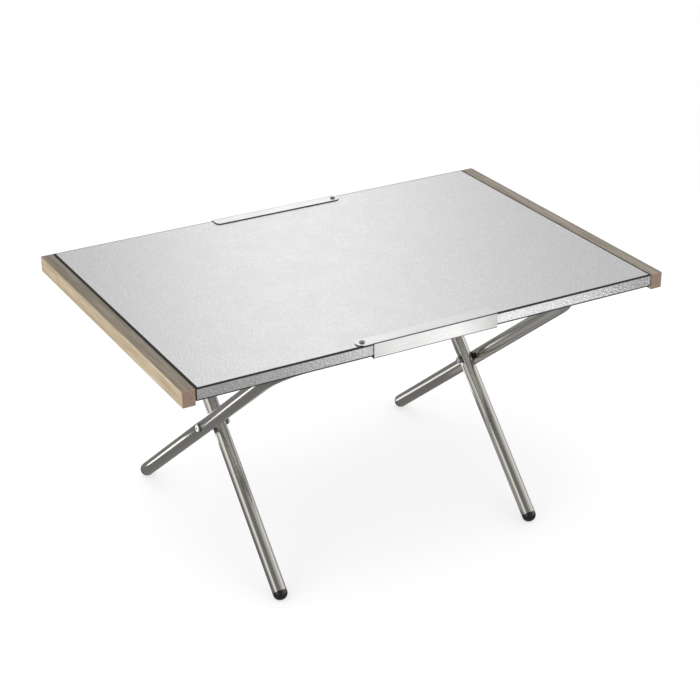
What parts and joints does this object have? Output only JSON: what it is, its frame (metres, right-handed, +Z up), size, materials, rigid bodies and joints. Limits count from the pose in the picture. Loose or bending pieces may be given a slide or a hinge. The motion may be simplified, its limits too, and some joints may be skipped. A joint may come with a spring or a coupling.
{
  "type": "folding camping table",
  "caption": "Low folding camping table with an embossed steel top between wooden end rails, standing on crossed tube leg frames, with a swing latch along each long edge.",
  "frame": {"origin": "on the floor, below the middle of the table top", "axes": "+X along the table's length, +Y towards the back long edge, +Z up"},
  "size_m": [0.6, 0.4022, 0.3247],
  "materials": {
    "embossed_sheet": "stainless sheet with a fine embossed pebble, satin",
    "plain_sheet": "brushed stainless sheet",
    "leg_tube": "polished stainless tube",
    "fastener_steel": "bright stainless fastener",
    "rail_wood": "light hardwood with a thin clear finish",
    "foot_rubber": "smooth black rubber",
    "spacer_nylon": "black nylon"
  },
  "bodies": {
    "tabletop": {"top_panel": "embossed_sheet", "left_rail": "rail_wood", "right_rail": "rail_wood", "rail_screw_left_front": "fastener_steel", "rail_screw_left_middle": "fastener_steel", "rail_screw_left_back": "fastener_steel", "rail_screw_right_front": "fastener_steel", "rail_screw_right_middle": "fastener_steel", "rail_screw_right_back": "fastener_steel", "front_bar_clip_left": "plain_sheet", "front_bar_clip_right": "plain_sheet", "back_bar_hook_left": "plain_sheet", "back_bar_hook_right": "plain_sheet", "front_latch_rivet": "fastener_steel", "back_latch_rivet": "fastener_steel"},
    "outer_legs": {"outer_leg_frame": "leg_tube", "foot_cap_back_left": "foot_rubber", "foot_cap_back_right": "foot_rubber", "pivot_bolt_left": "fastener_steel", "pivot_bolt_right": "fastener_steel", "pivot_nut_left": "fastener_steel", "pivot_nut_right": "fastener_steel", "pivot_spacer_left": "spacer_nylon", "pivot_spacer_right": "spacer_nylon"},
    "inner_legs": {"inner_leg_frame": "leg_tube", "foot_cap_front_left": "foot_rubber", "foot_cap_front_right": "foot_rubber"},
    "front_latch": {"front_latch": "plain_sheet"},
    "back_latch": {"back_latch": "plain_sheet"}
  },
  "joints": [
    {"name": "leg_scissor", "type": "hinge", "parent": "outer_legs", "child": "inner_legs", "pos_m": [0, 0.0042, 0.157], "axis": [1, 0, 0], "range_deg": [0, 96]},
    {"name": "outer_leg_hinge", "type": "hinge", "parent": "tabletop", "child": "outer_legs", "pos_m": [0, -0.1904, 0.3125], "axis": [-1, 0, 0], "range_deg": [0, 50.9]},
    {"name": "front_latch_swing", "type": "hinge", "parent": "tabletop", "child": "front_latch", "pos_m": [-0.09, -0.19225, 0.322], "axis": [0, 0, -1], "range_deg": [0, 90]},
    {"name": "back_latch_swing", "type": "hinge", "parent": "tabletop", "child": "back_latch", "pos_m": [0.086, 0.19225, 0.322], "axis": [0, 0, -1], "range_deg": [0, 90]}
  ],
  "couplings": [
    {"joint": "outer_leg_hinge", "follows": "leg_scissor", "ratio": 0.53}
  ]
}
